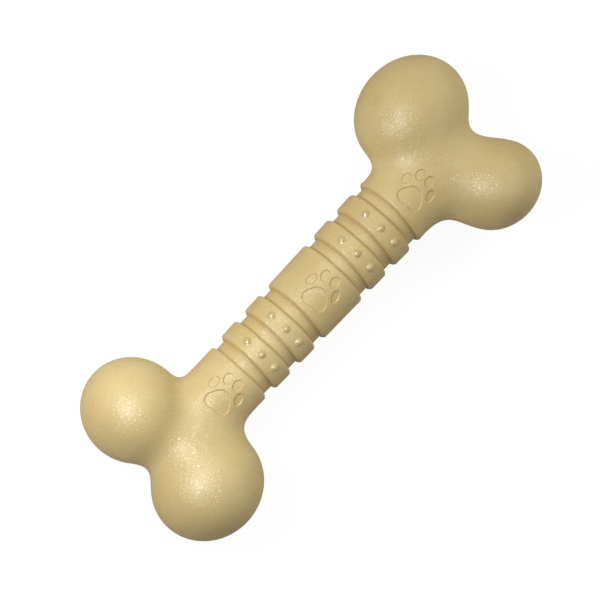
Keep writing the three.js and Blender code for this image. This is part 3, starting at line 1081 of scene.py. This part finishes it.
class BONE_OT_spine(bpy.types.Operator):
    """Turn the tapered spine with its two spigots"""

    bl_idname = "bone.spine"
    bl_label = "Spine"

    def execute(self, context):
        bone = context.scene.chew_bone
        piece = spun("spine", spine_profile(bone.barrel), bone.barrel.axis_height)
        # painted shade along the feet of the groove walls
        feet = np.array(wall_foot_places(bone.barrel))
        apart = np.abs(points_of(piece)[:, :1] - feet).min(axis=1)
        mark(piece, PAINTED_SHADE_MARK, soft_mark(apart, FOOT_SHADE_REACH))
        hand_over(piece, "spine", bone)
        return {"FINISHED"}


class BONE_OT_knuckles(bpy.types.Operator):
    """Model the two lobed knuckles with their collars, sockets and paw prints"""

    bl_idname = "bone.knuckles"
    bl_label = "Knuckles"

    def execute(self, context):
        bone = context.scene.chew_bone
        ends = (
            ("left_knuckle", bone.left, -1, bone.paw.left_place),
            ("right_knuckle", bone.right, 1, bone.paw.right_place),
        )
        for name, sizes, towards, paw_place in ends:
            hand_over(build_knuckle(bone, name, sizes, towards, paw_place), name, bone)
        return {"FINISHED"}


class BONE_OT_nub_rings(bpy.types.Operator):
    """Turn the four rings and raise their rows of nubs"""

    bl_idname = "bone.nub_rings"
    bl_label = "Nub rings"

    def execute(self, context):
        bone = context.scene.chew_bone
        for name in RING_NAMES:
            hand_over(build_nub_ring(bone, name), name, bone)
        return {"FINISHED"}


class BONE_OT_centre_band(bpy.types.Operator):
    """Turn the centre band and press in its paw prints"""

    bl_idname = "bone.centre_band"
    bl_label = "Centre band"

    def execute(self, context):
        bone = context.scene.chew_bone
        barrel, paw = bone.barrel, bone.paw
        span = sleeve_spans(barrel)["centre_band"]
        piece = spun("centre_band", sleeve_profile(barrel, span), barrel.axis_height)
        refine_paw(piece, paw, barrel.axis_height, paw.centre_place)
        press_paw(piece, paw, barrel.axis_height, paw.centre_place)
        # painted shade along the print's walls and at the feet of the band's walls
        shade_marks = paw_wall_shade(piece, paw, barrel.axis_height, paw.centre_place)
        mark(piece, PAINTED_SHADE_MARK, shade_marks + foot_wall_shade(barrel, span, points_of(piece)))
        hand_over(piece, "centre_band", bone)
        return {"FINISHED"}


class BONE_OT_stage(bpy.types.Operator):
    """Lay the floor, light it softly and set the camera"""

    bl_idname = "bone.stage"
    bl_label = "Stage"

    def execute(self, context):
        bone = context.scene.chew_bone
        middle = Vector((0, 0, bone.barrel.axis_height))
        lay_floor(context, bone.stage)
        hang_lamps(context, bone.stage, middle)
        light_surround(context, bone.stage)
        set_camera(context, middle)
        context.scene.view_settings.view_transform = "Standard"
        return {"FINISHED"}


class BONE_PT_sidebar(bpy.types.Panel):
    """Sizes and building steps of the chew bone"""

    bl_idname = "BONE_PT_sidebar"
    bl_label = "Chew bone"
    bl_space_type = "VIEW_3D"
    bl_region_type = "UI"
    bl_category = "Chew bone"

    def draw(self, context):
        bone = context.scene.chew_bone
        for step in STEPS:
            self.layout.operator(step.bl_idname)
        for name in ("overall_length", "overall_width", "lobe_height"):
            self.layout.prop(bone, name)
        for group in (bone.barrel, bone.nub, bone.paw, bone.left, bone.right, bone.nylon, bone.stage):
            box = self.layout.box()
            for name in group.__annotations__:
                box.prop(group, name)


GROUPS = (
    BarrelSizes, NubSizes, PawSizes, LeftKnuckleSizes, RightKnuckleSizes,
    NylonFinish, StageLight, ChewBone,
)
STEPS = (BONE_OT_spine, BONE_OT_knuckles, BONE_OT_nub_rings, BONE_OT_centre_band, BONE_OT_stage)


def register():
    """Make the sizes, the steps and the panel known to Blender."""
    for item in (*GROUPS, *STEPS, BONE_PT_sidebar):
        bpy.utils.register_class(item)
    bpy.types.Scene.chew_bone = PointerProperty(type=ChewBone)


def unregister():
    """Take them away again."""
    del bpy.types.Scene.chew_bone
    for item in reversed((*GROUPS, *STEPS, BONE_PT_sidebar)):
        bpy.utils.unregister_class(item)


def main():
    """Build the bone and its stage."""
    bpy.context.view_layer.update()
    register()
    bpy.ops.bone.spine()
    bpy.ops.bone.knuckles()
    bpy.ops.bone.nub_rings()
    bpy.ops.bone.centre_band()
    bpy.ops.bone.stage()


if __name__ == "__main__":
    main()
